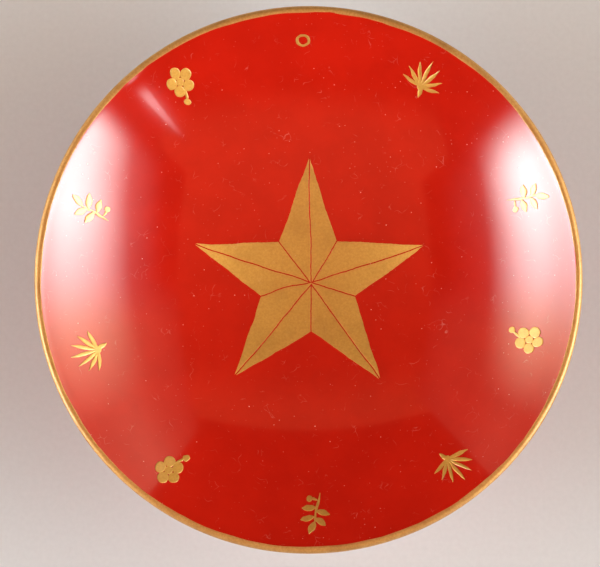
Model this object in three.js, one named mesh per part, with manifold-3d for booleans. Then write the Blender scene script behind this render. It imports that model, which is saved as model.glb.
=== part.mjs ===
// A footed, red-lacquered wooden sake cup with a gilded lip and gold painted decoration.
// Units are millimetres. +Z is up, the cup stands on Z = 0 and its axis is the Z axis.
// The ring mark and one point of the star lie towards +Y.

import * as THREE from "three";
import { mergeVertices } from "three/addons/utils/BufferGeometryUtils.js";
import Module from "manifold-3d";

const wasm = await Module();
wasm.setup();

// ---- driving dimensions ---------------------------------------------------------------------

const LIP_RADIUS = 57.6; // where the drinking surface ends and the round lip begins
const BOWL_FLOOR = 8.4; // height of the drinking surface at the axis
const BOWL_RISE = 21.2; // from there up to the lip
const BOWL_CURVE = 2.1; // power of the bowl's curve: 2 is a parabola, more is flatter at the middle
const LIP_THICKNESS = 1.7; // across the wall at the lip
const FOOT_THICKNESS = 3.2; // across the wall where it meets the foot

const FOOT_JOINT_RADIUS = 21.6; // drinking-side radius above the foot's outer wall
const FOOT_TOP_RADIUS = 21.4; // outside of the foot, just under the bowl
const FOOT_BASE_RADIUS = 21.9; // outside of the foot, at the table
const RECESS_BASE_RADIUS = 18.9; // inside of the foot, at the table
const RECESS_TOP_RADIUS = 19.2; // inside of the foot, under the bowl
const RECESS_DEPTH = 4.8;
const FOOT_EDGE_ROUND = 0.5; // rounding of the two edges that the cup stands on
const FOOT_FILLET = 1.4; // hollow between the bowl and the foot
const RECESS_FILLET = 1.0;

const COAT = 0.4; // ground and lacquer together, on each surface
const GOLD = 0.15; // raised gold, over the lacquer
const GAP = 0.02; // air kept between one coat and the next

const GILDED_SKIRT = 1.2; // how far the lip's gold runs down the outside
const GOLD_LINE = 0.25; // lacquer left bare between two facets of the star

const STAR_TIP_RADIUS = 26.8;
const STAR_NOTCH_RADIUS = 10.9;
// Brush drift of the star's five points and five notches, counter-clockwise from the top point.
const TIP_DRIFT = [
  { turn: 0.5, out: 0.8 },
  { turn: -0.7, out: 0.1 },
  { turn: -3.0, out: -0.4 },
  { turn: 0.2, out: -0.5 },
  { turn: 0.3, out: -0.3 },
];
const NOTCH_DRIFT = [
  { turn: 0.9, out: 0.6 },
  { turn: -4.5, out: 0.3 },
  { turn: 1.4, out: -0.3 },
  { turn: 2.0, out: -0.8 },
  { turn: 4.5, out: 0.1 },
];

const MARK_RADIUS = 50; // centres of the nine plant marks
const MARK_FIRST_TURN = 31.5; // clockwise from the ring mark to the first plant mark, in degrees
const MARK_COUNT = 9;
const MARK_DRIFT_TURN = [-0.5, 1.5, 0.8, 0.5, -1, 0.3, -1, -2.5, 0];
const MARK_DRIFT_OUT = [0.4, 0.1, -1.4, 1.0, 0, 0.2, 0.3, -0.5, 0.5];
const RING_RADIUS_FROM_AXIS = 52.2;
const RING_TURN = -1.2;

const LATHE_SEGMENTS = 48;
const BOWL_STEPS = 8;

// ---- materials --------------------------------------------------------------------------------

const material = (color, roughness, metalness) =>
  new THREE.MeshStandardMaterial({ color, roughness, metalness });

const wood = material(0xb98d5c, 0.7, 0);
const innerRed = material(0xc8200e, 0.15, 0);
const outerRed = material(0xb41a0c, 0.18, 0);
const gold = material(0xc08a3c, 0.4, 1);

// ---- the finished surface's outline -------------------------------------------------------------

const bowlHeight = (r) => BOWL_FLOOR + BOWL_RISE * (r / LIP_RADIUS) ** BOWL_CURVE;
const bowlSlope = (r) =>
  Math.atan(((BOWL_CURVE * BOWL_RISE) / LIP_RADIUS) * (r / LIP_RADIUS) ** (BOWL_CURVE - 1));
const wallThickness = (r) =>
  THREE.MathUtils.mapLinear(r, FOOT_JOINT_RADIUS, LIP_RADIUS, FOOT_THICKNESS, LIP_THICKNESS);

// The outside of the bowl, straight through the wall from the drinking surface at radius r.
function underside(r) {
  const slope = bowlSlope(r);
  const wall = wallThickness(r);
  return new THREE.Vector2(r + Math.sin(slope) * wall, bowlHeight(r) - Math.cos(slope) * wall);
}

// Points of the arc that rounds corner b of the path a-b-c.
function roundedCorner(a, b, c, radius, steps) {
  const back = a.clone().sub(b).normalize();
  const on = c.clone().sub(b).normalize();
  const half = Math.acos(THREE.MathUtils.clamp(back.dot(on), -1, 1)) / 2;
  const reach = radius / Math.tan(half);
  const centre = back.clone().add(on).normalize().multiplyScalar(radius / Math.sin(half)).add(b);
  const from = back.multiplyScalar(reach).add(b).sub(centre).angle();
  const to = on.multiplyScalar(reach).add(b).sub(centre).angle();
  const sweep = THREE.MathUtils.euclideanModulo(to - from + Math.PI, 2 * Math.PI) - Math.PI;
  return Array.from({ length: steps + 1 }, (_, i) => {
    const t = from + (sweep * i) / steps;
    return new THREE.Vector2(Math.cos(t), Math.sin(t)).multiplyScalar(radius).add(centre);
  });
}

const outline = []; // from the drinking surface's centre, over the lip, to the underside's centre
const station = {}; // where each stretch of the outline ends, as an index

function stretch(name, points) {
  outline.push(...points);
  station[name] = outline.length - 1;
}

stretch(
  "bowlEdge",
  Array.from({ length: BOWL_STEPS + 1 }, (_, i) => {
    const r = (LIP_RADIUS * i) / BOWL_STEPS;
    return new THREE.Vector2(r, bowlHeight(r));
  }),
);

// The lip is a half circle across the wall, tangent to both of its faces.
const lipSlope = bowlSlope(LIP_RADIUS);
const lipCentre = new THREE.Vector2(LIP_RADIUS, bowlHeight(LIP_RADIUS))
  .add(underside(LIP_RADIUS))
  .multiplyScalar(0.5);
const lipPoint = (turn) =>
  new THREE.Vector2(Math.cos(lipSlope + turn), Math.sin(lipSlope + turn))
    .multiplyScalar(LIP_THICKNESS / 2)
    .add(lipCentre);
stretch("lipTip", [Math.PI / 3, Math.PI / 6, 0].map(lipPoint));
stretch("lipOutside", [-Math.PI / 6, -Math.PI / 3, -Math.PI / 2].map(lipPoint));

const skirtRadius = LIP_RADIUS - GILDED_SKIRT;
stretch("skirt", [underside(skirtRadius)]);

const OUTSIDE_STEPS = 5;
stretch(
  "outside",
  Array.from({ length: OUTSIDE_STEPS - 1 }, (_, i) =>
    underside(THREE.MathUtils.lerp(skirtRadius, FOOT_JOINT_RADIUS, (i + 1) / OUTSIDE_STEPS)),
  ),
);

const footJoint = underside(FOOT_JOINT_RADIUS - LIP_THICKNESS);
const footTop = new THREE.Vector2(FOOT_TOP_RADIUS, footJoint.y);
const footBase = new THREE.Vector2(FOOT_BASE_RADIUS, 0);
const recessBase = new THREE.Vector2(RECESS_BASE_RADIUS, 0);
const recessTop = new THREE.Vector2(RECESS_TOP_RADIUS, RECESS_DEPTH);
const recessCentre = new THREE.Vector2(0, RECESS_DEPTH);

stretch("footFillet", roundedCorner(outline[station.outside], footTop, footBase, FOOT_FILLET, 3));
stretch("footEdge", roundedCorner(footTop, footBase, recessBase, FOOT_EDGE_ROUND, 2));
stretch("recessEdge", roundedCorner(footBase, recessBase, recessTop, FOOT_EDGE_ROUND, 2));
stretch("recessFillet", roundedCorner(recessBase, recessTop, recessCentre, RECESS_FILLET, 2));
stretch("centre", [recessCentre]);

// The outline's point i, moved into the wall by depth, or out of it where depth is negative.
function layerPoint(i, depth) {
  const here = outline[i];
  const before = outline[Math.max(i - 1, 0)];
  const after = outline[Math.min(i + 1, outline.length - 1)];
  if (here.x === 0) {
    return new THREE.Vector2(0, here.y + (i === 0 ? -depth : depth));
  }
  const a = here.clone().sub(before).normalize();
  const b = after.clone().sub(here).normalize();
  const along = a.clone().add(b).normalize();
  const inwards = new THREE.Vector2(along.y, -along.x);
  return inwards.multiplyScalar(depth / along.dot(a)).add(here);
}

const layer = (from, to, depth) =>
  Array.from({ length: to - from + 1 }, (_, i) => layerPoint(from + i, depth));

// ---- making solids --------------------------------------------------------------------------------

// A solid of revolution about Z. Its outline runs against the clock, as (radius, height).
function turned(points) {
  const ends = [...points];
  if (ends[0].x > 0) {
    ends.push(ends[0].clone());
  }
  const geometry = new THREE.LatheGeometry(ends, LATHE_SEGMENTS);
  return geometry.rotateX(Math.PI / 2);
}

// The coat that covers the outline between two stations, from depth outer down to depth inner.
const coat = (from, to, outer, inner) =>
  turned([...layer(from, to, inner), ...layer(from, to, outer).reverse()]);

function solidOf(geometry) {
  const bare = geometry.index ? geometry.toNonIndexed() : geometry.clone();
  bare.deleteAttribute("normal");
  bare.deleteAttribute("uv");
  const merged = mergeVertices(bare, 1e-4);
  return new wasm.Manifold(
    new wasm.Mesh({
      numProp: 3,
      vertProperties: merged.attributes.position.array,
      triVerts: new Uint32Array(merged.index.array),
    }),
  );
}

function geometryOf(solid) {
  const mesh = solid.getMesh();
  const geometry = new THREE.BufferGeometry();
  geometry.setAttribute("position", new THREE.BufferAttribute(mesh.vertProperties, 3));
  geometry.setIndex(new THREE.BufferAttribute(mesh.triVerts, 1));
  geometry.computeVertexNormals();
  return geometry;
}

const cup = new THREE.Group();

function addPart(name, geometry, look) {
  const mesh = new THREE.Mesh(geometry, look);
  mesh.name = name;
  cup.add(mesh);
}

// ---- wood and lacquer ---------------------------------------------------------------------------

const { bowlEdge, lipTip, skirt, footFillet, recessFillet, centre } = station;

addPart("wood_core", turned(layer(0, centre, COAT + GAP).reverse()), wood);
addPart("inner_lacquer", coat(0, lipTip, 0, COAT), innerRed);
addPart("outer_lacquer", coat(lipTip, footFillet, 0, COAT), outerRed);
addPart("foot_lacquer", coat(footFillet, recessFillet, 0, COAT), outerRed);
addPart(
  "base_lacquer",
  turned([...layer(recessFillet, centre, 0).reverse(), ...layer(recessFillet, centre, COAT)]),
  outerRed,
);
addPart("rim_gilding", coat(bowlEdge, skirt, -GAP - GOLD, -GAP), gold);

// ---- gold on the drinking surface -----------------------------------------------------------------

// The thin shell of gold that would cover the whole bowl. Each painted shape is a piece of it.
const goldShell = solidOf(
  turned([...layer(0, bowlEdge, -GAP), ...layer(0, bowlEdge, -GAP - GOLD).reverse()]),
);

// A plan shape, stood up as a column that passes through the shell.
const column = (shape) =>
  solidOf(new THREE.ExtrudeGeometry(shape, { depth: 40, bevelEnabled: false, curveSegments: 5 }));

const painted = (brushed) => geometryOf(brushed.intersect(goldShell));

const polar = (radius, degrees) => {
  const a = THREE.MathUtils.degToRad(degrees);
  return new THREE.Vector2(radius * Math.cos(a), radius * Math.sin(a));
};

// ---- the star: ten facets, two to a point -----------------------------------------------------------

const STEP = 72;
const tips = TIP_DRIFT.map((d, i) => polar(STAR_TIP_RADIUS + d.out, 90 + STEP * i + d.turn));
const notches = NOTCH_DRIFT.map((d, i) =>
  polar(STAR_NOTCH_RADIUS + d.out, 90 + STEP * (i + 0.5) + d.turn),
);

// A facet runs from the star's centre to a tip and a notch, half a bare line in from both ridges.
function facetShape(tip, notch) {
  const half = GOLD_LINE / 2;
  const side = Math.sign(tip.x * notch.y - tip.y * notch.x);
  const inFromTip = new THREE.Vector2(-tip.y, tip.x).normalize().multiplyScalar(half * side);
  const inFromNotch = new THREE.Vector2(notch.y, -notch.x).normalize().multiplyScalar(half * side);
  const between = tip.clone().normalize().dot(notch.clone().normalize());
  const reach = half / Math.sin(Math.acos(between) / 2);
  const middle = tip.clone().normalize().add(notch.clone().normalize()).normalize();
  return new THREE.Shape([
    middle.multiplyScalar(reach),
    tip.clone().add(inFromTip),
    notch.clone().add(inFromNotch),
  ]);
}

for (let i = 0; i < tips.length; i++) {
  const left = notches[i];
  const right = notches[(i + tips.length - 1) % tips.length];
  const number = String(2 * i + 1).padStart(2, "0");
  const next = String(2 * i + 2).padStart(2, "0");
  addPart(`star_facet_${number}`, painted(column(facetShape(tips[i], left))), gold);
  addPart(`star_facet_${next}`, painted(column(facetShape(tips[i], right))), gold);
}

// ---- brush shapes, each drawn about its own origin with +Y pointing out to the lip -------------------

// A leaf or needle: pointed at both ends, widest at the middle.
function leaf(x, y, degrees, length, width) {
  const tip = polar(length, degrees).add(new THREE.Vector2(x, y));
  const middle = polar(length / 2, degrees).add(new THREE.Vector2(x, y));
  const across = polar(width, degrees + 90);
  const shape = new THREE.Shape();
  shape.moveTo(x, y);
  shape.quadraticCurveTo(middle.x - across.x, middle.y - across.y, tip.x, tip.y);
  shape.quadraticCurveTo(middle.x + across.x, middle.y + across.y, x, y);
  return column(shape);
}

// A round touch of the brush.
function dot(x, y, radius) {
  const shape = new THREE.Shape();
  shape.absarc(x, y, radius, 0, 2 * Math.PI);
  return column(shape);
}

const joined = (solids) => solids.reduce((whole, solid) => whole.add(solid));

const PINE_NEEDLES = 7;
const PINE_SPREAD = 158;
// A fan of pine needles on a short twig.
function pine() {
  const needles = Array.from({ length: PINE_NEEDLES }, (_, i) => {
    const turn = (i / (PINE_NEEDLES - 1) - 0.5) * PINE_SPREAD;
    return leaf(0, -2, 90 + turn, 5.9 - Math.abs(turn) / 60, 0.85);
  });
  return joined([...needles, leaf(0.1, -1.4, -76, 2.7, 1), dot(0, -1.9, 0.75)]);
}

const SPRIG_LEAVES = [
  { x: 0.62, y: 2.1, turn: 62 },
  { x: 0.55, y: 1.3, turn: 138 },
  { x: 0.55, y: 1.0, turn: 12 },
  { x: 0.25, y: -0.3, turn: 158 },
  { x: 0.2, y: -0.9, turn: -2 },
];
// Round-shouldered leaves in turn on either side of a bent stem, with a berry at its foot.
function sprig() {
  const leaves = SPRIG_LEAVES.map(({ x, y, turn }) => leaf(x, y, turn, 3.1, 1.5));
  return joined([
    ...leaves,
    leaf(-0.7, -3.9, 75, 5.2, 0.62),
    leaf(0.3, 0, 82, 2.6, 0.55),
    leaf(-0.2, -2.3, -22, 2, 0.5),
    dot(1.7, -2.9, 0.68),
  ]);
}

const PETALS = 5;
// A blossom of round petals, with a bud on its own stalk below.
function plum() {
  const petals = Array.from({ length: PETALS }, (_, i) => {
    const at = polar(1.95, 90 + (360 / PETALS) * i);
    return dot(at.x, at.y + 0.8, 1.25);
  });
  const stalk = leaf(0.3, -0.6, -116, 3.3, 0.6);
  return joined([...petals, dot(0, 0.8, 0.9), stalk, dot(-1.2, -3.4, 0.75)]);
}

const plants = { pine, sprig, plum };
const order = Object.keys(plants);

// Turns a brush shape to clock angle degrees round the bowl, at a radius from the axis.
const placed = (solid, radius, degrees) =>
  solid.translate([0, radius, 0]).rotate([0, 0, -degrees]);

const markStep = (360 - 2 * MARK_FIRST_TURN) / (MARK_COUNT - 1);
for (let i = 0; i < MARK_COUNT; i++) {
  const plant = order[i % order.length];
  const degrees = RING_TURN + MARK_FIRST_TURN + markStep * i + MARK_DRIFT_TURN[i];
  const mark = placed(plants[plant](), MARK_RADIUS + MARK_DRIFT_OUT[i], degrees);
  addPart(`${plant}_mark_${1 + Math.floor(i / order.length)}`, painted(mark), gold);
}

// The ring mark at the top is a small brushed ring, wider than it is tall.
const ringShape = new THREE.Shape();
ringShape.absellipse(0, 0, 1.75, 1.45, 0, 2 * Math.PI);
const ringHole = new THREE.Path();
ringHole.absellipse(0, 0, 1.05, 0.8, 0, 2 * Math.PI);
ringShape.holes.push(ringHole);
addPart("ring_mark", painted(placed(column(ringShape), RING_RADIUS_FROM_AXIS, RING_TURN)), gold);

export default cup;
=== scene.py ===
# %% [markdown]
# # A lacquered sake cup
#
# This lesson builds the looks of a shallow, footed sake cup. A real one is turned from wood,
# coated all over with red lacquer, gilded on the lip, and painted inside with gold: a faceted
# star on the floor of the bowl, a small ring above it, and nine plants round the wall.
#
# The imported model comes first. It fixes every size and place, and nothing here moves it. It has
# flat facets where the real cup is round, so each of its parts is replaced by a fine one.

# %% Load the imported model
import math

import bpy
from mathutils import Matrix, Vector


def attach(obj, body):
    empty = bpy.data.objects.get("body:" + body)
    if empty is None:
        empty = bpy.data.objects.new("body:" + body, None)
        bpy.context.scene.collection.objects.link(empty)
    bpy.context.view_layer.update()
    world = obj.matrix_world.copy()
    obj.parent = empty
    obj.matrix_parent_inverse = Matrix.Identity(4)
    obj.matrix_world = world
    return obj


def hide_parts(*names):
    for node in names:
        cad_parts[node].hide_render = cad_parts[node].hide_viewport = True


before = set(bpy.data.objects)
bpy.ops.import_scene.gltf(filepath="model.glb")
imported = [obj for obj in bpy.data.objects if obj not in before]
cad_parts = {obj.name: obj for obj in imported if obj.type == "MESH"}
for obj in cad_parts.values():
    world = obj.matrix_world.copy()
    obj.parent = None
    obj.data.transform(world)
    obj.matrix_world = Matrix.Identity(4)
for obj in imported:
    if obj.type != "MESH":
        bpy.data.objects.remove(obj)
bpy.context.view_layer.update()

MM = 0.001
print("parts in the packed model:", len(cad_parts))

# %% [markdown]
# Operators act on whatever is selected, so every step starts by choosing its own piece. These
# short helpers do that, pick points by their place, and apply a modifier once it is set up.


# %% Helpers for choosing a piece and its points
def choose(*chosen):
    """Selects these pieces and nothing else. The first one becomes active."""
    bpy.ops.object.select_all(action="DESELECT")
    for piece in chosen:
        piece.select_set(True)
    bpy.context.view_layer.objects.active = chosen[0]


def start_piece(name):
    """Names the primitive that was just added."""
    piece = bpy.context.object
    piece.name = name
    piece.data.name = name
    return piece


def select_points(piece, wanted):
    """In edit mode, selects the points whose place passes the test."""
    bpy.ops.object.mode_set(mode="EDIT")
    bpy.ops.mesh.select_all(action="DESELECT")
    bpy.ops.object.mode_set(mode="OBJECT")
    for point in piece.data.vertices:
        point.select = wanted(point.co)
    bpy.ops.object.mode_set(mode="EDIT")


def modify(piece, kind, **settings):
    """Adds a modifier with these settings and applies it."""
    choose(piece)
    modifier = piece.modifiers.new(kind.title(), kind)
    for key, value in settings.items():
        setattr(modifier, key, value)
    bpy.ops.object.modifier_apply(modifier=modifier.name)


def settle(piece):
    """Puts the piece's place, turn and scale into its mesh."""
    choose(piece)
    bpy.ops.object.transform_apply(location=True, rotation=True, scale=True)


# %% [markdown]
# ## The cup's outline
#
# A turned cup is its outline spun about an axis. The outline runs from the middle of the drinking
# surface, up the bowl, over the lip, down the outside and round the foot, to the middle of the
# recess underneath. The bowl is nearly a parabola, which is why it gathers light like a mirror.
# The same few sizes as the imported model's are used, but with many more points.

# %% Sizes of the cup
LIP_RADIUS = 57.6 * MM
BOWL_FLOOR = 8.4 * MM
BOWL_RISE = 21.2 * MM
BOWL_CURVE = 2.1
LIP_THICKNESS = 1.7 * MM
FOOT_THICKNESS = 3.2 * MM

FOOT_JOINT_RADIUS = 21.6 * MM
FOOT_TOP_RADIUS = 21.4 * MM
FOOT_BASE_RADIUS = 21.9 * MM
RECESS_BASE_RADIUS = 18.9 * MM
RECESS_TOP_RADIUS = 19.2 * MM
RECESS_DEPTH = 4.8 * MM
FOOT_EDGE_ROUND = 0.5 * MM
FOOT_FILLET = 1.4 * MM
RECESS_FILLET = 1.0 * MM
GILDED_SKIRT = 1.2 * MM

COAT = 0.4 * MM
GAP = 0.02 * MM


# %% Curves of the bowl and of its underside
def bowl_height(r):
    return BOWL_FLOOR + BOWL_RISE * (r / LIP_RADIUS) ** BOWL_CURVE


def bowl_slope(r):
    return math.atan(BOWL_CURVE * BOWL_RISE / LIP_RADIUS * (r / LIP_RADIUS) ** (BOWL_CURVE - 1))


def underside(r):
    """The outside of the bowl, straight through the wall from the drinking surface."""
    along = (r - FOOT_JOINT_RADIUS) / (LIP_RADIUS - FOOT_JOINT_RADIUS)
    wall = FOOT_THICKNESS + (LIP_THICKNESS - FOOT_THICKNESS) * along
    slope = bowl_slope(r)
    return Vector((r + math.sin(slope) * wall, bowl_height(r) - math.cos(slope) * wall))


def rounded_corner(a, b, c, radius, steps):
    """Points of the arc that rounds corner b of the path a, b, c."""
    back = (a - b).normalized()
    onward = (c - b).normalized()
    half = back.angle(onward) / 2
    centre = b + (back + onward).normalized() * radius / math.sin(half)
    first = b + back * radius / math.tan(half) - centre
    last = b + onward * radius / math.tan(half) - centre
    start = math.atan2(first.y, first.x)
    sweep = (math.atan2(last.y, last.x) - start + math.pi) % (2 * math.pi) - math.pi
    turns = [start + sweep * i / steps for i in range(steps + 1)]
    return [centre + Vector((math.cos(t), math.sin(t))) * radius for t in turns]


# %% The outline, stretch by stretch
BOWL_STEPS = 72
LIP_STEPS = 10
OUTSIDE_STEPS = 48
ARC_STEPS = 8

outline = []
station = {}


def stretch(name, points):
    outline.extend(points)
    station[name] = len(outline) - 1


radii = [LIP_RADIUS * i / BOWL_STEPS for i in range(BOWL_STEPS + 1)]
stretch("bowl_edge", [Vector((r, bowl_height(r))) for r in radii])

lip_slope = bowl_slope(LIP_RADIUS)
lip_centre = (outline[-1] + underside(LIP_RADIUS)) / 2


def lip_points(first, last):
    turns = [lip_slope + math.pi / 2 * (1 - i / LIP_STEPS) for i in range(first, last)]
    return [lip_centre + Vector((math.cos(t), math.sin(t))) * LIP_THICKNESS / 2 for t in turns]


stretch("lip_tip", lip_points(1, LIP_STEPS + 1))
stretch("lip_outside", lip_points(LIP_STEPS + 1, 2 * LIP_STEPS + 1))

skirt_radius = LIP_RADIUS - GILDED_SKIRT
stretch("skirt", [underside(LIP_RADIUS - GILDED_SKIRT * i / 4) for i in range(1, 5)])
outside_run = skirt_radius - FOOT_JOINT_RADIUS
stretch(
    "outside",
    [underside(skirt_radius - outside_run * i / OUTSIDE_STEPS) for i in range(1, OUTSIDE_STEPS)],
)

foot_top = Vector((FOOT_TOP_RADIUS, underside(FOOT_JOINT_RADIUS - LIP_THICKNESS).y))
foot_base = Vector((FOOT_BASE_RADIUS, 0))
recess_base = Vector((RECESS_BASE_RADIUS, 0))
recess_top = Vector((RECESS_TOP_RADIUS, RECESS_DEPTH))
recess_centre = Vector((0, RECESS_DEPTH))

stretch("foot_fillet", rounded_corner(outline[-1], foot_top, foot_base, FOOT_FILLET, ARC_STEPS))
stretch("foot_edge", rounded_corner(foot_top, foot_base, recess_base, FOOT_EDGE_ROUND, ARC_STEPS))
stretch(
    "recess_edge", rounded_corner(foot_base, recess_base, recess_top, FOOT_EDGE_ROUND, ARC_STEPS)
)
stretch(
    "recess_fillet",
    rounded_corner(recess_base, recess_top, recess_centre, RECESS_FILLET, ARC_STEPS),
)
stretch("centre", [recess_centre])
print("points in the outline:", len(outline))


# %% [markdown]
# ## Spinning the coats
#
# Lacquerware is built in layers, so the wood and each coat are separate shells that fit into one
# another. A shell could be cut from a block, but it is simpler to do what the turner does: draw
# its outline once and spin it. The outline starts as a single point and is extruded from station
# to station, and the spin operator sweeps it round. The seam and the poles are then merged, and
# the faces are turned outwards.

# %% A layer of the outline, and the lathe
LATHE_STEPS = 224
MERGE = 0.0005 * MM


def layer_point(i, depth):
    """Point i of the outline, moved into the wall by depth, or out of it if depth is negative."""
    here = outline[i]
    if here.x == 0:
        return Vector((0, here.y + (depth if i else -depth)))
    before = (here - outline[i - 1]).normalized()
    after = (outline[i + 1] - here).normalized()
    along = (before + after).normalized()
    return here + Vector((along.y, -along.x)) * depth / along.dot(before)


def layer(first, last, depth):
    return [layer_point(i, depth) for i in range(first, last + 1)]


def turn_on_lathe(name, points):
    """Spins an outline, given as (radius, height), about the cup's axis."""
    bpy.ops.object.select_all(action="DESELECT")
    bpy.ops.mesh.primitive_plane_add(size=MM)
    piece = start_piece(name)
    bpy.ops.object.mode_set(mode="EDIT")
    bpy.ops.mesh.select_all(action="SELECT")
    bpy.ops.mesh.merge(type="CENTER")
    at = Vector((0, 0))
    for i, point in enumerate(points):
        step = (point.x - at.x, 0, point.y - at.y)
        if i == 0:
            bpy.ops.transform.translate(value=step)
        else:
            bpy.ops.mesh.extrude_vertices_move(TRANSFORM_OT_translate={"value": step})
        at = point
    bpy.ops.mesh.select_all(action="SELECT")
    bpy.ops.mesh.spin(steps=LATHE_STEPS, angle=2 * math.pi, center=(0, 0, 0), axis=(0, 0, 1))
    bpy.ops.mesh.select_all(action="SELECT")
    bpy.ops.mesh.remove_doubles(threshold=MERGE)
    bpy.ops.mesh.normals_make_consistent(inside=False)
    bpy.ops.object.mode_set(mode="OBJECT")
    choose(piece)
    bpy.ops.object.shade_smooth_by_angle(angle=math.radians(40))
    print(name, "has", len(piece.data.polygons), "faces")
    return piece


def shell(first, last, outer, inner):
    """The outline of a coat between two stations, closed if it doesn't end on the axis."""
    points = layer(first, last, inner) + layer(first, last, outer)[::-1]
    on_axis = any(point.x == 0 for point in points)
    return points if on_axis else points + points[:1]


# %% The wood and the red coats
CENTRE = station["centre"]
LIP_TIP = station["lip_tip"]
LIP_TIP_HEIGHT = outline[LIP_TIP].y
FOOT_FILLET_END = station["foot_fillet"]
RECESS_FILLET_END = station["recess_fillet"]

wood_core = turn_on_lathe("wood", layer(0, CENTRE, COAT + GAP))
inner_coat = turn_on_lathe("drinking_surface_lacquer", shell(0, LIP_TIP, 0, COAT))
outer_coat = turn_on_lathe("outside_lacquer", shell(LIP_TIP, FOOT_FILLET_END, 0, COAT))
foot_coat = turn_on_lathe("foot_ring_lacquer", shell(FOOT_FILLET_END, RECESS_FILLET_END, 0, COAT))
base_outline = layer(RECESS_FILLET_END, CENTRE, 0)[::-1] + layer(RECESS_FILLET_END, CENTRE, COAT)
base_coat = turn_on_lathe("recess_lacquer", base_outline)

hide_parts("wood_core")
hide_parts("inner_lacquer")
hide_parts("outer_lacquer")
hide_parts("foot_lacquer")
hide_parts("base_lacquer")

# %% [markdown]
# ## An unsteady hand
#
# Everything from here on is painted, and a brush never leaves an edge quite even. A displace
# modifier pushes points about by a smooth noise. The noise comes from each point's place, so two
# edges that lie side by side sway together, and the line between them keeps its width.


# %% Noise for brushed edges
def brush_noise(name, grain):
    texture = bpy.data.textures.new(name, "CLOUDS")
    texture.noise_scale = grain
    texture.noise_depth = 1
    texture.cloud_type = "COLOR"
    return texture


def unsteady(piece, texture, wander, **limits):
    """Pushes the points of a piece about by up to half the wander."""
    modify(
        piece, "DISPLACE", texture=texture, direction="RGB_TO_XYZ", texture_coords="LOCAL",
        strength=wander, mid_level=0.5, **limits,
    )


hand_sway = brush_noise("sway of the hand", 7 * MM)
brush_edge = brush_noise("edge of the brush", 0.9 * MM)

# %% [markdown]
# ## Gold on the lip
#
# The lip is gilded with a brush that is steadied on the edge while the cup is turned. The gold
# is spun as one bare sheet that hugs the half-round lip. The points near its inner edge are then
# pushed about and put back on the lacquer with a shrinkwrap modifier, so the edge wavers and the
# sheet still fits. Solidify gives it the thickness of a few coats of gold.

# %% The gilded lip
GILDING = 0.14 * MM
GILDING_INSET_STEPS = 1
LIP_WANDER = 0.5 * MM
WAVERING_STEPS = 5
EDGE_SOFTNESS = 0.03 * MM

lip_first = station["bowl_edge"] + GILDING_INSET_STEPS
lip_gold = turn_on_lathe("lip_gilding", layer(lip_first, station["skirt"], -GAP))
still = layer_point(lip_first + WAVERING_STEPS, -GAP)
start = layer_point(lip_first, -GAP)
wavering = lip_gold.vertex_groups.new(name="wavering")
for point in lip_gold.data.vertices:
    share = (still.x - point.co.xy.length) / (still.x - start.x)
    if share > 0 and point.co.z > LIP_TIP_HEIGHT:
        wavering.add([point.index], share, "REPLACE")

unsteady(lip_gold, hand_sway, LIP_WANDER, vertex_group="wavering")
unsteady(lip_gold, brush_edge, LIP_WANDER / 3, vertex_group="wavering")
modify(
    lip_gold, "SHRINKWRAP", target=inner_coat, wrap_method="NEAREST_SURFACEPOINT",
    wrap_mode="ABOVE_SURFACE", offset=GAP, vertex_group="wavering",
)
modify(lip_gold, "SOLIDIFY", thickness=GILDING, offset=1, use_even_offset=True)
modify(lip_gold, "BEVEL", width=EDGE_SOFTNESS, segments=2, limit_method="ANGLE")
choose(lip_gold)
bpy.ops.object.shade_smooth_by_angle(angle=math.radians(40))
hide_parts("rim_gilding")
print("faces in the lip's gold:", len(lip_gold.data.polygons))

# %% [markdown]
# ## Laying gold on the bowl
#
# The star and the small marks are painted on a surface that curves both ways. Each shape is
# drawn flat, high above the cup, and a shrinkwrap modifier lets it fall straight down on the
# lacquer. Solidify then gives it the thickness of the paint, and sinks it a little so that no
# light gets under it.

# %% Letting a flat shape fall on the bowl
DRAWING_HEIGHT = 60 * MM
PAINT = 0.04 * MM
SUNK_SHARE = 0.2


def lay_on_bowl(piece, thickness):
    """Drops a flat drawing on the drinking surface and gives it the thickness of paint."""
    modify(
        piece, "SHRINKWRAP", target=inner_coat, wrap_method="PROJECT", use_project_z=True,
        use_negative_direction=True, use_positive_direction=False,
    )
    modify(piece, "SOLIDIFY", thickness=thickness, offset=1 - 2 * SUNK_SHARE, use_even_offset=True)


# %% [markdown]
# ## The star
#
# The star is ten flat facets with fine lines of bare lacquer between them, as if it had been cut
# from folded gold leaf. Each facet is a three-sided sheet. A fine grid is cut by three straight
# cuts, because the grid bends well over the bowl and a cut stays clean. The points and notches
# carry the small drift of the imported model's, and the lines were ruled by hand, so they pass a
# little beside the middle.

# %% Corners of the star
STAR_TIP_RADIUS = 26.8 * MM
STAR_NOTCH_RADIUS = 10.9 * MM
GOLD_LINE = 0.25 * MM
TIP_DRIFT = [(0.5, 0.8), (-0.7, 0.1), (-3.0, -0.4), (0.2, -0.5), (0.3, -0.3)]
NOTCH_DRIFT = [(0.9, 0.6), (-4.5, 0.3), (1.4, -0.3), (2.0, -0.8), (4.5, 0.1)]
TIP_LINE_MISS = [0.0, -0.2, 0.15, -0.1, 0.2]
NOTCH_LINE_MISS = [0.1, -0.25, 0.0, 0.2, -0.1]
POINT_STEP = 72


def polar(radius, degrees):
    turn = math.radians(degrees)
    return Vector((radius * math.cos(turn), radius * math.sin(turn)))


tips = [
    polar(STAR_TIP_RADIUS + out * MM, 90 + POINT_STEP * i + turn)
    for i, (turn, out) in enumerate(TIP_DRIFT)
]
notches = [
    polar(STAR_NOTCH_RADIUS + out * MM, 90 + POINT_STEP * (i + 0.5) + turn)
    for i, (turn, out) in enumerate(NOTCH_DRIFT)
]

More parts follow.
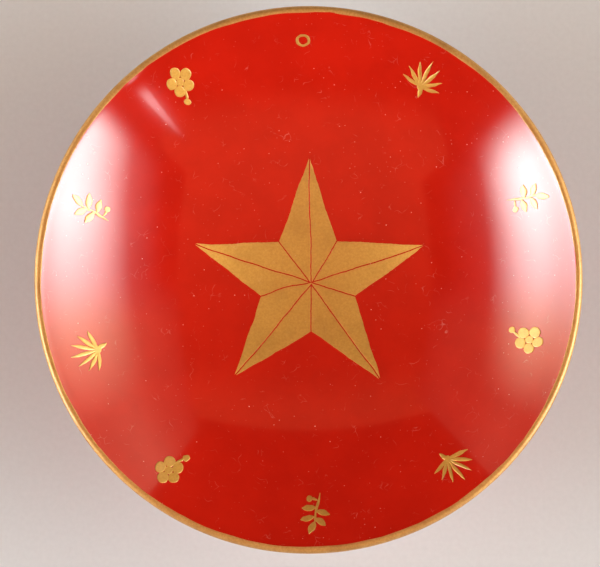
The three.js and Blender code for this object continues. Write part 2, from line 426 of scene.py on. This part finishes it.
# %% Cutting and laying the facets
GRID_STEP = 0.3 * MM
SLIVER = 0.02 * MM


def cut_sheet(first, last, keep, gap):
    """Cuts the sheet along a line, keeps the side with the point keep, and half the gap off it."""
    along = (last - first).normalized()
    off = Vector((along.y, -along.x))
    if off.dot(keep - first) > 0:
        off = -off
    at = first - off * gap / 2
    bpy.ops.mesh.select_all(action="SELECT")
    bpy.ops.mesh.bisect(
        plane_co=(at.x, at.y, DRAWING_HEIGHT), plane_no=(off.x, off.y, 0), clear_outer=True,
        threshold=MERGE,
    )


def merge_close_points(distance):
    """Merges points that a cut or a bevel left too close together, and leaves edit mode."""
    bpy.ops.mesh.select_all(action="SELECT")
    bpy.ops.mesh.remove_doubles(threshold=distance)
    bpy.ops.object.mode_set(mode="OBJECT")


def beside_the_middle(corner, miss):
    """Where the hand-ruled line from a corner passes the middle of the star."""
    return Vector((-corner.y, corner.x)).normalized() * miss * MM


def star_facet(number, tip, notch, tip_miss, notch_miss):
    low = Vector((min(0, tip.x, notch.x), min(0, tip.y, notch.y)))
    high = Vector((max(0, tip.x, notch.x), max(0, tip.y, notch.y)))
    middle = (low + high) / 2
    size = high - low + Vector((MM, MM))
    bpy.ops.object.select_all(action="DESELECT")
    bpy.ops.mesh.primitive_grid_add(
        x_subdivisions=round(size.x / GRID_STEP), y_subdivisions=round(size.y / GRID_STEP),
        size=1, location=(middle.x, middle.y, DRAWING_HEIGHT),
    )
    piece = start_piece(f"star_gold_{number:02d}")
    piece.scale = (size.x, size.y, 1)
    settle(piece)
    bpy.ops.object.mode_set(mode="EDIT")
    cut_sheet(tip, beside_the_middle(tip, tip_miss), notch, GOLD_LINE)
    cut_sheet(notch, beside_the_middle(notch, notch_miss), tip, GOLD_LINE)
    cut_sheet(tip, notch, Vector((0, 0)), 0)
    merge_close_points(SLIVER)
    modify(
        piece, "WARP", object_from=line_before, object_to=line_after, strength=1,
        falloff_type="SMOOTH", falloff_radius=BEND_REACH,
    )
    unsteady(piece, hand_sway, 0.6 * MM)
    unsteady(piece, brush_edge, 0.14 * MM)
    lay_on_bowl(piece, PAINT)
    modify(piece, "BEVEL", width=PAINT / 3, segments=2, limit_method="ANGLE")
    bpy.ops.object.mode_set(mode="EDIT")
    merge_close_points(MERGE)
    bpy.ops.object.shade_smooth_by_angle(angle=math.radians(50))
    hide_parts(f"star_facet_{number:02d}")
    return piece


# %% [markdown]
# One line bends where the ruler slipped. A warp modifier pulls a soft patch of every facet from
# one empty to another, so the gold on both sides of the line moves with it.

# %% The star, with its one bent line
BEND_REACH = 5.2 * MM
bend_middle = notches[1] * 0.5


def marker(place):
    bpy.ops.object.empty_add(location=(place.x, place.y, DRAWING_HEIGHT))
    return bpy.context.object


line_before = marker(bend_middle)
line_after = marker(bend_middle + Vector((-0.1 * MM, 0.5 * MM)))
star = []
for i, tip in enumerate(tips):
    for side, notch in enumerate((i, i - 1)):
        number = 2 * i + 1 + side
        star.append(star_facet(number, tip, notches[notch], TIP_LINE_MISS[i], NOTCH_LINE_MISS[notch]))
for marked in (line_before, line_after):
    bpy.data.objects.remove(marked)
print("faces in one facet:", len(star[0].data.polygons))

# %% [markdown]
# ## Touches of the brush
#
# Every mark on the wall is made of two kinds of touch: a leaf, where the brush is set down,
# pressed and lifted along a line, and a dot, where it is only pressed. Each is modelled once, as
# a flat patch one unit long, and copied. A patch needs only a few faces, because a subdivision
# surface rounds it after it lies on the bowl.

# %% One leaf touch and one dot touch
LEAF_ROWS = 12
DOT_SIDES = 16


def leaf_touch():
    """A patch from (0, 0) to (0, 1), pointed at both ends and one unit wide at the middle."""
    bpy.ops.object.select_all(action="DESELECT")
    bpy.ops.mesh.primitive_grid_add(
        x_subdivisions=2, y_subdivisions=LEAF_ROWS, size=1, location=(0, 0.5, 0)
    )
    piece = start_piece("leaf_touch")
    settle(piece)
    for row in range(LEAF_ROWS + 1):
        y = row / LEAF_ROWS
        width = max(4 * y * (1 - y), 0.12)
        select_points(piece, lambda place: abs(place.y - y) < 0.01)
        bpy.ops.transform.resize(value=(width, 1, 1), center_override=(0, y, 0))
    bpy.ops.object.mode_set(mode="OBJECT")
    return piece


def dot_touch():
    """A round patch of radius 1 about (0, 0)."""
    bpy.ops.object.select_all(action="DESELECT")
    bpy.ops.mesh.primitive_circle_add(vertices=DOT_SIDES, radius=1, fill_type="NGON")
    piece = start_piece("dot_touch")
    bpy.ops.object.mode_set(mode="EDIT")
    bpy.ops.mesh.select_all(action="SELECT")
    bpy.ops.mesh.inset(thickness=0.3)
    bpy.ops.mesh.inset(thickness=0.35)
    bpy.ops.mesh.poke()
    bpy.ops.object.mode_set(mode="OBJECT")
    return piece


touches = {"leaf": leaf_touch(), "dot": dot_touch()}
print("faces in a leaf touch:", len(touches["leaf"].data.polygons))


# %% Painting with the touches
def touch(kind, x, y, degrees, width, length):
    """A copy of a touch, laid down in a drawing whose own +Y points out to the lip."""
    piece = touches[kind].copy()
    piece.data = touches[kind].data.copy()
    bpy.context.collection.objects.link(piece)
    piece.location = (x * MM, y * MM, 0)
    piece.rotation_euler = (0, 0, math.radians(degrees - 90))
    piece.scale = (width * MM, length * MM, 1)
    settle(piece)
    return piece


def leaf(x, y, degrees, length, width):
    return touch("leaf", x, y, degrees, width, length)


def dot(x, y, radius):
    return touch("dot", x, y, 90, radius, radius)


# %% [markdown]
# The three plants are drawn as a painter would, stroke by stroke, in millimetres about the middle
# of each mark. A pine is a fan of needles on a twig. A sprig has leaves in turn on either side of
# a bent stem. A plum is a blossom of five round petals with a bud below.

# %% The three plants and the ring
PINE_NEEDLES = 7
PINE_SPREAD = 158
SPRIG_LEAVES = [
    (0.62, 2.1, 62), (0.55, 1.3, 138), (0.55, 1.0, 12), (0.25, -0.3, 158), (0.2, -0.9, -2),
]
PETALS = 5


def draw_pine():
    turns = [(i / (PINE_NEEDLES - 1) - 0.5) * PINE_SPREAD for i in range(PINE_NEEDLES)]
    needles = [leaf(0, -2, 90 + turn, 5.9 - abs(turn) / 60, 0.85) for turn in turns]
    return needles + [leaf(0.1, -1.4, -76, 2.7, 1), dot(0, -1.9, 0.75)]


def draw_sprig():
    leaves = [leaf(x, y, turn, 3.1, 1.5) for x, y, turn in SPRIG_LEAVES]
    stem = [leaf(-0.7, -3.9, 75, 5.2, 0.62), leaf(0.3, 0, 82, 2.6, 0.55)]
    return leaves + stem + [leaf(-0.2, -2.3, -22, 2, 0.5), dot(1.7, -2.9, 0.68)]


def draw_plum():
    places = [polar(1.95, 90 + 360 / PETALS * i) for i in range(PETALS)]
    petals = [dot(place.x, place.y + 0.8, 1.25) for place in places]
    return petals + [dot(0, 0.8, 0.9), leaf(0.3, -0.6, -116, 3.3, 0.6), dot(-1.2, -3.4, 0.75)]


def join(name, pieces):
    choose(*pieces)
    bpy.ops.object.join()
    return start_piece(name)


plants = {
    "pine": join("pine", draw_pine()),
    "sprig": join("sprig", draw_sprig()),
    "plum": join("plum", draw_plum()),
}


def draw_ring():
    """A small ring, wider than it is tall, from a circle extruded outwards twice."""
    bpy.ops.object.select_all(action="DESELECT")
    bpy.ops.mesh.primitive_circle_add(vertices=24, radius=MM)
    piece = start_piece("ring")
    bpy.ops.object.mode_set(mode="EDIT")
    bpy.ops.mesh.select_all(action="SELECT")
    for grow in (1.32, 1.26):
        bpy.ops.mesh.extrude_region_move()
        bpy.ops.transform.resize(value=(grow, grow, 1), center_override=(0, 0, 0))
    bpy.ops.mesh.select_all(action="SELECT")
    bpy.ops.mesh.normals_make_consistent(inside=False)
    bpy.ops.transform.resize(value=(1, 0.72, 1), center_override=(0, 0, 0))
    bpy.ops.object.mode_set(mode="OBJECT")
    return piece


ring = draw_ring()

# %% Placing the marks round the wall
MARK_RADIUS = 50
MARK_FIRST_TURN = 31.5
MARK_COUNT = 9
MARK_DRIFT_TURN = [-0.5, 1.5, 0.8, 0.5, -1, 0.3, -1, -2.5, 0]
MARK_DRIFT_OUT = [0.4, 0.1, -1.4, 1.0, 0, 0.2, 0.3, -0.5, 0.5]
RING_RADIUS_FROM_AXIS = 52.2
RING_TURN = -1.2
STROKE = 0.13 * MM


def place_mark(name, drawing, radius, degrees):
    """Copies a drawing to its place on the wall, clockwise from the top, and paints it there."""
    piece = drawing.copy()
    piece.data = drawing.data.copy()
    piece.name = name
    piece.data.name = name
    bpy.context.collection.objects.link(piece)
    turn = math.radians(degrees)
    piece.location = (radius * MM * math.sin(turn), radius * MM * math.cos(turn), DRAWING_HEIGHT)
    piece.rotation_euler = (0, 0, -turn)
    settle(piece)
    unsteady(piece, hand_sway, 0.9 * MM)
    unsteady(piece, brush_edge, 0.3 * MM)
    lay_on_bowl(piece, STROKE)
    modify(piece, "SUBSURF", levels=2, render_levels=2)
    choose(piece)
    bpy.ops.object.shade_smooth()
    return piece


marks = []
step = (360 - 2 * MARK_FIRST_TURN) / (MARK_COUNT - 1)
for i in range(MARK_COUNT):
    plant = list(plants)[i % len(plants)]
    number = 1 + i // len(plants)
    degrees = RING_TURN + MARK_FIRST_TURN + step * i + MARK_DRIFT_TURN[i]
    radius = MARK_RADIUS + MARK_DRIFT_OUT[i]
    mark = place_mark(f"{plant}_gold_{number}", plants[plant], radius, degrees)
    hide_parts(f"{plant}_mark_{number}")
    marks.append(mark)

ring_gold = place_mark("ring_gold", ring, RING_RADIUS_FROM_AXIS, RING_TURN)
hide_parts("ring_mark")
marks.append(ring_gold)
print("faces in the marks:", sum(len(mark.data.polygons) for mark in marks))

for drawing in [*touches.values(), *plants.values(), ring]:
    bpy.data.objects.remove(drawing)


# %% [markdown]
# ## Materials
#
# One helper adds a node, sets its properties and fills its sockets, with a value or with a link
# from another node's output. Colours are written as the eye sees them, and one function turns
# them into the linear values that light is reckoned in.

# %% Helpers for materials
def linear(colour):
    """An sRGB hex colour such as "#C8200E" as linear red, green, blue and alpha."""
    parts = [int(colour[i:i + 2], 16) / 255 for i in (1, 3, 5)]
    return [c / 12.92 if c <= 0.04045 else ((c + 0.055) / 1.055) ** 2.4 for c in parts] + [1]


def add_node(tree, kind, inputs=None, **settings):
    """Adds a node. Each input is given a value, or the output socket to link it to."""
    node = tree.nodes.new(kind)
    for key, value in settings.items():
        setattr(node, key, value)
    for key, value in (inputs or {}).items():
        if isinstance(value, bpy.types.NodeSocket):
            tree.links.new(value, node.inputs[key])
        else:
            node.inputs[key].default_value = value
    return node


def ramp(tree, value, start, end, shape="SMOOTHSTEP"):
    """Goes from 0 where the value is start to 1 where it is end, which may be the lower."""
    return add_node(
        tree, "ShaderNodeMapRange", {"Value": value, "From Min": start, "From Max": end},
        interpolation_type=shape,
    ).outputs["Result"]


def reckon(tree, operation, first, second):
    """One step of arithmetic between two values."""
    return add_node(tree, "ShaderNodeMath", {0: first, 1: second}, operation=operation).outputs[0]


def new_material(name):
    """A material with no nodes yet but the object coordinates that its patterns follow."""
    material = bpy.data.materials.new(name)
    material.use_nodes = True
    tree = material.node_tree
    tree.nodes.clear()
    place = add_node(tree, "ShaderNodeTexCoord").outputs["Object"]
    return material, tree, place


def finish_material(tree, shader):
    add_node(tree, "ShaderNodeOutputMaterial", {"Surface": shader.outputs["BSDF"]})


# %% [markdown]
# ### Vermilion lacquer
#
# Vermilion lacquer is cinnabar stirred into the sap of the lacquer tree, brushed on, hardened in
# damp air and polished with fine ash. The eye gets a deep, even red under a clear skin that
# mirrors the room. Its age shows only close to: cloudy depth in the red, a slow ripple, hairline
# scratches from wiping, and specks and lint that have settled on it. The clear skin is a coat
# over the red, and the red under it is a little rougher where dust lies.


# %% Dust and scratches
def settled_dust(tree, place):
    """Specks up to a quarter of a millimetre across, a few of them bright, and wisps of lint."""
    specks = add_node(tree, "ShaderNodeTexVoronoi", {"Vector": place, "Scale": 900})
    chance = add_node(tree, "ShaderNodeSeparateColor", {"Color": specks.outputs["Color"]}).outputs
    spot = ramp(tree, specks.outputs["Distance"], 0.13, 0.05)
    few = ramp(tree, chance["Green"], 0.3, 0.55)
    brightness = reckon(tree, "ADD", reckon(tree, "POWER", chance["Red"], 9), 0.14)
    speck = reckon(tree, "MULTIPLY", reckon(tree, "MULTIPLY", spot, few), brightness)
    wavy = add_node(tree, "ShaderNodeTexNoise", {"Vector": place, "Scale": 350, "Detail": 1})
    bend = add_node(
        tree, "ShaderNodeVectorMath",
        {0: wavy.outputs["Color"], 1: (0.004, 0.004, 0.004)}, operation="MULTIPLY",
    )
    bent = add_node(
        tree, "ShaderNodeVectorMath", {0: place, 1: bend.outputs["Vector"]}, operation="ADD"
    )
    threads = add_node(
        tree, "ShaderNodeTexVoronoi", {"Vector": bent.outputs["Vector"], "Scale": 290},
        feature="DISTANCE_TO_EDGE",
    )
    short = add_node(tree, "ShaderNodeTexNoise", {"Vector": place, "Scale": 330, "Detail": 2})
    lint = reckon(
        tree, "MULTIPLY", ramp(tree, threads.outputs["Distance"], 0.022, 0.002),
        ramp(tree, short.outputs["Fac"], 0.56, 0.76),
    )
    return reckon(tree, "MAXIMUM", speck, reckon(tree, "MULTIPLY", lint, 0.22))


def wiping_scratches(tree, place, turn):
    """Fine parallel hairlines, a quarter of a millimetre apart, that run one way."""
    turned = add_node(
        tree, "ShaderNodeMapping",
        {"Vector": place, "Rotation": (0, 0, math.radians(turn)), "Scale": (4000, 60, 60)},
    )
    return add_node(
        tree, "ShaderNodeTexNoise", {"Vector": turned.outputs["Vector"], "Scale": 1, "Detail": 2}
    ).outputs["Fac"]


def blend(tree, share, first, second):
    """The first colour where share is 0, and the second where it is 1."""
    return add_node(
        tree, "ShaderNodeMix", {"Factor": share, "A": first, "B": second}, data_type="RGBA"
    ).outputs["Result"]


# %% Vermilion lacquer
DUST = "#E9BFAE"


def vermilion_lacquer(name, bright, deep, sheen, dust_share, ripple_height):
    material, tree, place = new_material(name)
    cloudy = add_node(
        tree, "ShaderNodeTexNoise", {"Vector": place, "Scale": 90, "Detail": 5, "Roughness": 0.6}
    )
    red = blend(tree, ramp(tree, cloudy.outputs["Fac"], 0.3, 0.7), linear(deep), linear(bright))
    dust = reckon(tree, "MULTIPLY", settled_dust(tree, place), dust_share)
    matter = add_node(
        tree, "ShaderNodeMapRange", {"Value": dust, "To Min": 0.12, "To Max": 0.6}
    )
    slow = add_node(tree, "ShaderNodeTexNoise", {"Vector": place, "Scale": 70, "Detail": 1})
    ripple = add_node(
        tree, "ShaderNodeBump", {"Height": slow.outputs["Fac"], "Distance": ripple_height}
    )
    hairlines = reckon(
        tree, "ADD", wiping_scratches(tree, place, 25), wiping_scratches(tree, place, -58)
    )
    scratched = add_node(
        tree, "ShaderNodeBump",
        {"Height": hairlines, "Distance": 0.0004 * MM, "Normal": ripple.outputs["Normal"]},
    )
    shader = add_node(
        tree, "ShaderNodeBsdfPrincipled",
        {
            "Base Color": blend(tree, dust, red, linear(DUST)),
            "Roughness": matter.outputs["Result"], "IOR": 1.5, "Coat Weight": 0.5,
            "Coat Roughness": sheen, "Coat IOR": 1.52,
            "Normal": scratched.outputs["Normal"], "Coat Normal": scratched.outputs["Normal"],
        },
    )
    finish_material(tree, shader)
    return material


inner_red = vermilion_lacquer(
    "polished vermilion lacquer", "#C9200E", "#BF1D0C", 0.04, 0.9, 0.02 * MM
)
outer_red = vermilion_lacquer(
    "vermilion lacquer as brushed", "#CC1F0D", "#BD1B0A", 0.09, 0.5, 0.05 * MM
)

# %% [markdown]
# ### Gold
#
# The gold isn't leaf. It is gold ground to powder, bound in a little lacquer and brushed on over
# red. The grains point every way, so it glows softly instead of mirroring. Where fewer grains
# lie, the red under them warms it. A breath of clear lacquer seals it. On the lip the same gold
# is rubbed bright, and years of drinking have browned and thinned it in places.


# %% Gold powder
def powder_gold(name, rich, thin, aged, roughness, metal, seal, seal_roughness):
    material, tree, place = new_material(name)
    laid = add_node(
        tree, "ShaderNodeTexNoise", {"Vector": place, "Scale": 1900, "Detail": 4, "Roughness": 0.7}
    )
    gold = blend(tree, ramp(tree, laid.outputs["Fac"], 0.3, 0.7), linear(thin), linear(rich))
    clouds = add_node(
        tree, "ShaderNodeTexNoise", {"Vector": place, "Scale": 130, "Detail": 3, "Roughness": 0.6}
    )
    aging = reckon(tree, "MULTIPLY", ramp(tree, clouds.outputs["Fac"], 0.42, 0.75), 0.45)
    gold = blend(tree, aging, gold, linear(aged))
    dust = reckon(tree, "MULTIPLY", settled_dust(tree, place), 0.5)
    gold = blend(tree, dust, gold, linear("#FFE9C4"))
    grains = add_node(tree, "ShaderNodeTexNoise", {"Vector": place, "Scale": 6000, "Detail": 2})
    grainy = add_node(
        tree, "ShaderNodeBump", {"Height": grains.outputs["Fac"], "Distance": 0.012 * MM}
    )
    rough = add_node(
        tree, "ShaderNodeMapRange",
        {"Value": laid.outputs["Fac"], "To Min": roughness + 0.08, "To Max": roughness - 0.08},
    )
    shader = add_node(
        tree, "ShaderNodeBsdfPrincipled",
        {
            "Base Color": gold, "Metallic": metal, "Roughness": rough.outputs["Result"],
            "Normal": grainy.outputs["Normal"], "Coat Weight": seal,
            "Coat Roughness": seal_roughness, "Coat IOR": 1.52,
        },
    )
    finish_material(tree, shader)
    return material


painted_gold = powder_gold(
    "gold powder paint", "#E9BD5D", "#DFAF53", "#C89A48", 0.6, 0.85, 1, 0.08
)
lip_gilding_gold = powder_gold(
    "rubbed gold powder", "#DCAE64", "#CC9850", "#A8733A", 0.6, 0.8, 0.8, 0.25
)

# %% [markdown]
# ### Wood
#
# The body is horse chestnut or zelkova, turned across the grain on a lathe. It is a pale, even
# brown with fine yearly rings. The lacquer hides it, but a cut or chipped cup would show it.


# %% Turned wood
RING_SPACING = 2.2 * MM
WAVE_PERIOD = 0.1 * math.pi  # metres from wave to wave in a wave texture of scale 1


def turned_wood():
    material, tree, place = new_material("turned horse chestnut")
    wander = add_node(tree, "ShaderNodeTexNoise", {"Vector": place, "Scale": 25, "Detail": 2})
    shaken = add_node(
        tree, "ShaderNodeVectorMath",
        {0: wander.outputs["Color"], 1: (0.012, 0.012, 0.012)}, operation="MULTIPLY",
    )
    bent = add_node(
        tree, "ShaderNodeVectorMath", {0: place, 1: shaken.outputs["Vector"]}, operation="ADD"
    )
    rings = add_node(
        tree, "ShaderNodeTexWave",
        {"Vector": bent.outputs["Vector"], "Scale": WAVE_PERIOD / RING_SPACING, "Distortion": 1.5},
        bands_direction="X",
    )
    pores = add_node(
        tree, "ShaderNodeMapping", {"Vector": place, "Scale": (2500, 180, 2500)}
    )
    fleck = add_node(
        tree, "ShaderNodeTexNoise", {"Vector": pores.outputs["Vector"], "Scale": 1, "Detail": 3}
    )
    tone = reckon(
        tree, "ADD", reckon(tree, "MULTIPLY", rings.outputs["Fac"], 0.6),
        reckon(tree, "MULTIPLY", fleck.outputs["Fac"], 0.4),
    )
    brown = blend(tree, tone, linear("#A67C4E"), linear("#D2B080"))
    grain = add_node(
        tree, "ShaderNodeBump", {"Height": fleck.outputs["Fac"], "Distance": 0.03 * MM}
    )
    shader = add_node(
        tree, "ShaderNodeBsdfPrincipled",
        {
            "Base Color": brown, "Roughness": 0.62, "Normal": grain.outputs["Normal"],
        },
    )
    finish_material(tree, shader)
    return material


wood = turned_wood()


# %% Giving each piece its material
def dress(piece, material):
    piece.data.materials.clear()
    piece.data.materials.append(material)
    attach(piece, "root")


dress(wood_core, wood)
dress(inner_coat, inner_red)
for coat in (outer_coat, foot_coat, base_coat):
    dress(coat, outer_red)
dress(lip_gold, lip_gilding_gold)
for piece in star + marks:
    dress(piece, painted_gold)

# %% [markdown]
# ## Floor, light and camera
#
# A polished bowl is a curved mirror, so the lights are also the picture in it. Two upright
# screens of white cloth stand at either side, lit from behind near one end, so each is brightest
# there and fades to a warm haze at its far end. They give the two tall, soft highlights. A slim
# lit edge between screen and stand gives one crisp streak. A faint ceiling lifts the middle, and
# its front end draws the soft curve below the star. All else above is dark, which keeps the red
# deep.

# %% Floor
bpy.ops.object.select_all(action="DESELECT")
bpy.ops.mesh.primitive_plane_add(size=8)
floor = start_piece("floor")
floor_paper, tree, place = new_material("matt floor paper")
fibres = add_node(tree, "ShaderNodeTexNoise", {"Vector": place, "Scale": 900, "Detail": 4})
paper = blend(tree, fibres.outputs["Fac"], linear("#C9D1D2"), linear("#D3DBDC"))
shader = add_node(tree, "ShaderNodeBsdfPrincipled", {"Base Color": paper, "Roughness": 0.9})
finish_material(tree, shader)
floor.data.materials.append(floor_paper)


# %% Cards of light
def glowing_card(name, centre, turn, size):
    """A flat card that lights the cup but isn't seen, with the node tree of its glow."""
    bpy.ops.object.select_all(action="DESELECT")
    bpy.ops.mesh.primitive_plane_add(size=1, location=centre, rotation=turn)
    card = start_piece(name)
    card.scale = (*size, 1)
    settle(card)
    card.visible_camera = False
    material = bpy.data.materials.new(name)
    material.use_nodes = True
    material.node_tree.nodes.clear()
    card.data.materials.append(material)
    return material.node_tree


def glow(tree, strength, colour):
    emission = add_node(tree, "ShaderNodeEmission", {"Strength": strength, "Color": colour})
    add_node(tree, "ShaderNodeOutputMaterial", {"Surface": emission.outputs["Emission"]})


# %% The two lit screens
SCREEN_DISTANCE = 1.0
SCREEN_HEIGHT = 1.4
SCREEN_POWER = 18
SCREENS = {
    "right_screen": {
        "side": 1, "near": (-0.85, -0.64), "core": -0.25, "faded": 1.2, "end": 1.54, "fall": 2.5,
        "dim": 0.045, "top": (0.98, 0.48), "tilt": 0.13, "spill": 0.07, "low": 0.58, "haze": 0.43,
    },
    "left_screen": {
        "side": -1, "near": (-0.76, -0.42), "core": -0.3, "faded": 0.8, "end": 1.11, "fall": 1.6,
        "dim": 0.03, "top": (0.83, 0.48), "tilt": 0, "spill": 0.015, "low": 0.72, "haze": 0.25,
    },
}
for name, screen in SCREENS.items():
    width = screen["end"] - screen["near"][0]
    middle = (screen["end"] + screen["near"][0]) / 2
    tree = glowing_card(
        name, (screen["side"] * SCREEN_DISTANCE, middle, SCREEN_HEIGHT / 2),
        (0, math.radians(-90 * screen["side"]), 0), (SCREEN_HEIGHT, width),
    )
    place = add_node(tree, "ShaderNodeTexCoord").outputs["Object"]
    axes = add_node(tree, "ShaderNodeSeparateXYZ", {"Vector": place}).outputs
    along = ramp(tree, axes["Y"], screen["faded"], screen["core"], "LINEAR")
    along = reckon(tree, "POWER", along, screen["fall"])
    along = reckon(tree, "MAXIMUM", along, screen["dim"])
    along = reckon(tree, "MULTIPLY", along, ramp(tree, axes["Y"], *screen["near"]))
    leaning = reckon(
        tree, "SUBTRACT", axes["Z"], reckon(tree, "MULTIPLY", axes["Y"], screen["tilt"])
    )
    spill = reckon(tree, "MULTIPLY", ramp(tree, leaning, 1.25, 0.75), screen["spill"])
    up = reckon(tree, "MAXIMUM", ramp(tree, leaning, *screen["top"]), spill)
    bottom = reckon(tree, "MULTIPLY", ramp(tree, axes["Z"], 0.05, 0.3), screen["low"])
    middle_up = reckon(tree, "MULTIPLY", ramp(tree, axes["Z"], 0.38, 0.52), 1 - screen["low"])
    upward = reckon(tree, "MULTIPLY", up, reckon(tree, "ADD", bottom, middle_up))
    lit = reckon(tree, "MULTIPLY", reckon(tree, "MULTIPLY", along, upward), SCREEN_POWER)
    far = ramp(tree, axes["Y"], 0, 0.4)
    raised = reckon(
        tree, "MULTIPLY", ramp(tree, axes["Z"], 0.52, 0.8), ramp(tree, axes["Z"], 1.7, 1)
    )
    haze = reckon(tree, "MULTIPLY", reckon(tree, "MULTIPLY", far, raised), screen["haze"])
    tint = blend(tree, far, linear("#FFFFFF"), linear("#FFF1CC"))
    glow(tree, reckon(tree, "ADD", lit, haze), tint)

# %% The slim edge
EDGE_TURN = math.radians(-48)
EDGE_DISTANCE = 1.2
EDGE_MIDDLE = 0.82
tree = glowing_card(
    "slim_edge",
    (EDGE_DISTANCE * math.cos(EDGE_TURN), EDGE_DISTANCE * math.sin(EDGE_TURN), EDGE_MIDDLE),
    (math.radians(90), 0, EDGE_TURN + math.radians(-90)), (0.055, 0.5),
)
slim_edge = bpy.context.object
select_points(slim_edge, lambda place: place.z > EDGE_MIDDLE)
bpy.ops.transform.resize(
    value=(0.3, 0.3, 1),
    center_override=(
        EDGE_DISTANCE * math.cos(EDGE_TURN), EDGE_DISTANCE * math.sin(EDGE_TURN), EDGE_MIDDLE
    ),
)
bpy.ops.object.mode_set(mode="OBJECT")
place = add_node(tree, "ShaderNodeTexCoord").outputs["Object"]
height = add_node(tree, "ShaderNodeSeparateXYZ", {"Vector": place}).outputs["Z"]
fading = reckon(tree, "MULTIPLY", ramp(tree, height, 1.07, 0.72), ramp(tree, height, 0.57, 0.66))
glow(tree, reckon(tree, "MULTIPLY", fading, 6.5), linear("#FFFFFF"))

# %% The faint ceiling
CEILING_HEIGHT = 1.4
CEILING_ENDS = (-1.9, 1.38)
tree = glowing_card(
    "faint_ceiling", (0, sum(CEILING_ENDS) / 2, CEILING_HEIGHT), (math.radians(180), 0, 0),
    (2.8, CEILING_ENDS[1] - CEILING_ENDS[0]),
)
place = add_node(tree, "ShaderNodeTexCoord").outputs["Object"]
across = add_node(tree, "ShaderNodeSeparateXYZ", {"Vector": place}).outputs["Y"]
back = reckon(tree, "MULTIPLY", ramp(tree, across, 0.7, -0.9), 1.5)
front = reckon(tree, "MULTIPLY", ramp(tree, across, 0.6, 1.25), 1.5)
brighter = reckon(tree, "ADD", reckon(tree, "ADD", back, front), 0.5)
faint = reckon(tree, "MULTIPLY", brighter, ramp(tree, across, -1.9, -1.2))
glow(tree, reckon(tree, "MULTIPLY", faint, 0.35), linear("#FF9466"))

# %% Dim room with a pale horizon
scene = bpy.context.scene
scene.view_settings.view_transform = "Standard"
scene.world = bpy.data.worlds.new("dim room")
scene.world.use_nodes = True
room = scene.world.node_tree
upward = add_node(
    room, "ShaderNodeSeparateXYZ",
    {"Vector": add_node(room, "ShaderNodeTexCoord").outputs["Generated"]},
).outputs["Z"]
room.links.new(
    reckon(room, "ADD", reckon(room, "MULTIPLY", ramp(room, upward, 0.2, 0.05), 0.35), 0.008),
    room.nodes["Background"].inputs["Strength"],
)
room.nodes["Background"].inputs["Color"].default_value = linear("#FFFFFF")

# %% Camera
CAMERA_DISTANCE = 0.9
AIM = Vector((-1.71 * MM, -0.98 * MM, 29 * MM))
backward = Vector((0.0325, -0.0514, 1)).normalized()
sideways = Vector((0, 1, 0)).cross(backward).normalized()
bpy.ops.object.camera_add(location=AIM + backward * CAMERA_DISTANCE)
camera = bpy.context.object
axes = Matrix((sideways, backward.cross(sideways), backward)).transposed()
camera.rotation_euler = axes.to_euler()
camera.data.sensor_width = 36
camera.data.lens = 250.5
camera.data.clip_start = 0.01
camera.data.clip_end = 20
scene.camera = camera
